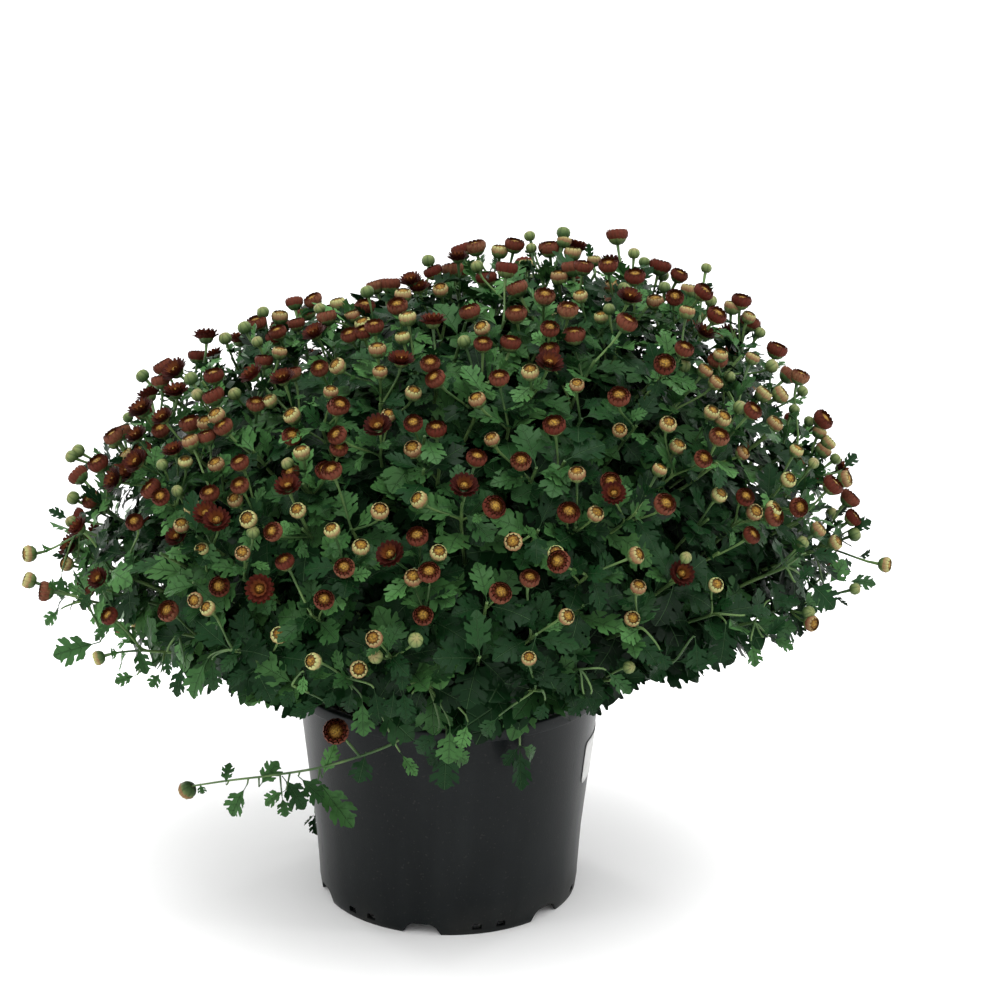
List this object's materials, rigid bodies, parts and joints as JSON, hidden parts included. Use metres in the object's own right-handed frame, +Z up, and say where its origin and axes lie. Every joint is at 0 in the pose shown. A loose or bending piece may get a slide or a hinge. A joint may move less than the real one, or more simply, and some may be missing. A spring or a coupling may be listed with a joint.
{
  "type": "pot chrysanthemum",
  "caption": "Garden chrysanthemum in a black nursery pot: a leaning dome of lobed leaves with dark red blooms and pale buds, and one shoot trailing over the rim.",
  "frame": {"origin": "on the pot's axis, on the ground under its foot ring", "axes": "+Z up; -Y to the front, where one shoot trails over the rim at the left; +X to the viewer's right, towards which the dome leans"},
  "size_m": [0.66, 0.4902, 0.4949],
  "materials": {
    "pot_plastic": "moulded black plastic, low sheen",
    "label_paper": "blank white sticker",
    "potting_mix": "moist peat and bark",
    "bark": "rough woody stem",
    "stem": "ribbed green stem",
    "leaf": "soft dark green leaf",
    "petal": "velvety dark red ray petals",
    "disc": "golden disc florets",
    "bud": "pale green bud"
  },
  "bodies": {
    "root": {"pot": "pot_plastic", "pot_label": "label_paper", "potting_mix": "potting_mix", "root_crown": "bark", "branch_1": "bark", "branch_2": "bark", "branch_3": "bark", "branch_4": "bark", "branch_5": "bark", "branch_6": "bark", "leafy_shoot_01": "leaf", "leafy_shoot_02": "leaf", "leafy_shoot_03": "leaf", "leafy_shoot_04": "leaf", "leafy_shoot_05": "leaf", "leafy_shoot_06": "leaf", "leafy_shoot_07": "leaf", "leafy_shoot_08": "leaf", "leafy_shoot_09": "leaf", "leafy_shoot_10": "leaf", "leafy_shoot_11": "leaf", "leafy_shoot_12": "leaf", "leafy_shoot_13": "leaf", "leafy_shoot_14": "leaf", "leafy_shoot_15": "leaf", "leafy_shoot_16": "leaf", "leafy_shoot_17": "leaf", "leafy_shoot_18": "leaf", "flower_spray_01": "petal", "flower_spray_02": "petal", "flower_spray_03": "petal", "flower_spray_04": "petal", "flower_spray_05": "petal", "flower_spray_06": "petal", "flower_spray_07": "petal", "flower_spray_08": "petal", "flower_spray_09": "petal", "flower_spray_10": "petal", "flower_spray_11": "petal", "flower_spray_12": "petal", "flower_spray_13": "petal", "flower_spray_14": "petal", "flower_spray_15": "petal", "flower_spray_16": "petal", "flower_spray_17": "petal", "flower_spray_18": "petal", "trailing_stem": "stem", "trailing_leaf_1": "leaf", "trailing_leaf_2": "leaf", "trailing_leaf_3": "leaf", "trailing_leaf_4": "leaf", "trailing_leaf_5": "leaf", "trailing_leaf_6": "leaf", "trailing_leaf_7": "leaf", "trailing_bud": "bud", "trailing_bloom": "petal", "hanging_leaf_1": "leaf", "hanging_leaf_2": "leaf", "hanging_leaf_3": "leaf"}
  },
  "joints": []
}
